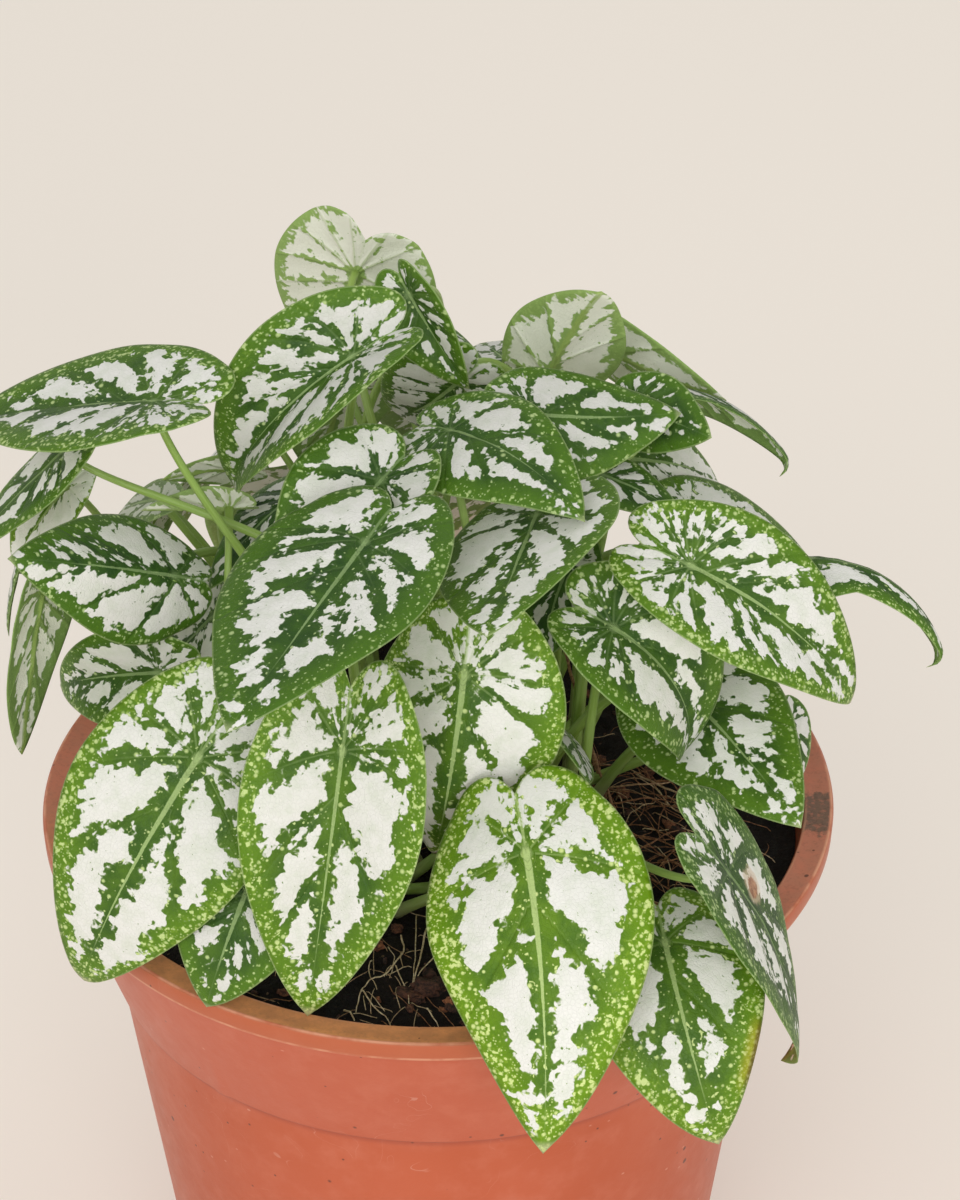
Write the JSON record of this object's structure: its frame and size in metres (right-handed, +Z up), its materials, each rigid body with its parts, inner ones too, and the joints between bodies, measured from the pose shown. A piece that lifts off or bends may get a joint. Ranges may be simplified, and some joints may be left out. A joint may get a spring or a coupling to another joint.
{
  "type": "potted caladium",
  "caption": "Small leafy house plant with arrow-shaped, white-patterned green leaves on slender arching stalks, growing in soil in a round tapered nursery pot.",
  "frame": {"origin": "centre of the pot's flat base, on the surface it stands on", "axes": "+Z up along the pot's axis; -Y is the side the picture looks at; +X is to the right in the picture"},
  "size_m": [0.2048, 0.2138, 0.269],
  "materials": {
    "pot": "satin terracotta-coloured moulded plastic, faint moulding lines and a brownish flat rim",
    "soil": "dark moist peat with fine brown roots and bark crumbs",
    "leaf": "satin green blade with ragged white patches between the veins, pale speckles near the margin; smooth yellow-green stalk"
  },
  "bodies": {
    "root": {"pot": "pot", "soil": "soil", "leaf_front_1": "leaf", "leaf_front_2": "leaf", "leaf_front_3": "leaf", "leaf_front_4": "leaf", "leaf_crown_1": "leaf", "leaf_crown_2": "leaf", "leaf_crown_3": "leaf", "leaf_crown_4": "leaf", "leaf_crown_5": "leaf", "leaf_right_1": "leaf", "leaf_right_2": "leaf", "leaf_right_3": "leaf", "leaf_right_4": "leaf", "leaf_right_5": "leaf", "leaf_right_6": "leaf", "leaf_right_7": "leaf", "leaf_right_8": "leaf", "leaf_left_1": "leaf", "leaf_left_2": "leaf", "leaf_left_3": "leaf", "leaf_left_4": "leaf", "leaf_left_5": "leaf", "leaf_left_6": "leaf", "leaf_left_7": "leaf", "leaf_left_8": "leaf", "leaf_top_1": "leaf", "leaf_top_2": "leaf", "leaf_top_3": "leaf", "leaf_top_4": "leaf", "leaf_top_5": "leaf", "leaf_top_6": "leaf", "leaf_top_7": "leaf", "leaf_top_8": "leaf", "leaf_top_9": "leaf", "leaf_top_10": "leaf", "leaf_top_11": "leaf", "leaf_rim_1": "leaf", "leaf_rim_2": "leaf", "leaf_rim_3": "leaf", "leaf_rim_4": "leaf", "leaf_inner_1": "leaf", "leaf_inner_2": "leaf", "leaf_inner_3": "leaf", "leaf_inner_4": "leaf", "leaf_back_1": "leaf", "leaf_back_2": "leaf", "leaf_back_3": "leaf", "leaf_back_4": "leaf", "leaf_back_5": "leaf", "leaf_back_6": "leaf", "leaf_back_7": "leaf", "leaf_back_8": "leaf", "leaf_back_9": "leaf", "leaf_back_10": "leaf", "leaf_back_11": "leaf", "leaf_back_12": "leaf"}
  },
  "joints": []
}
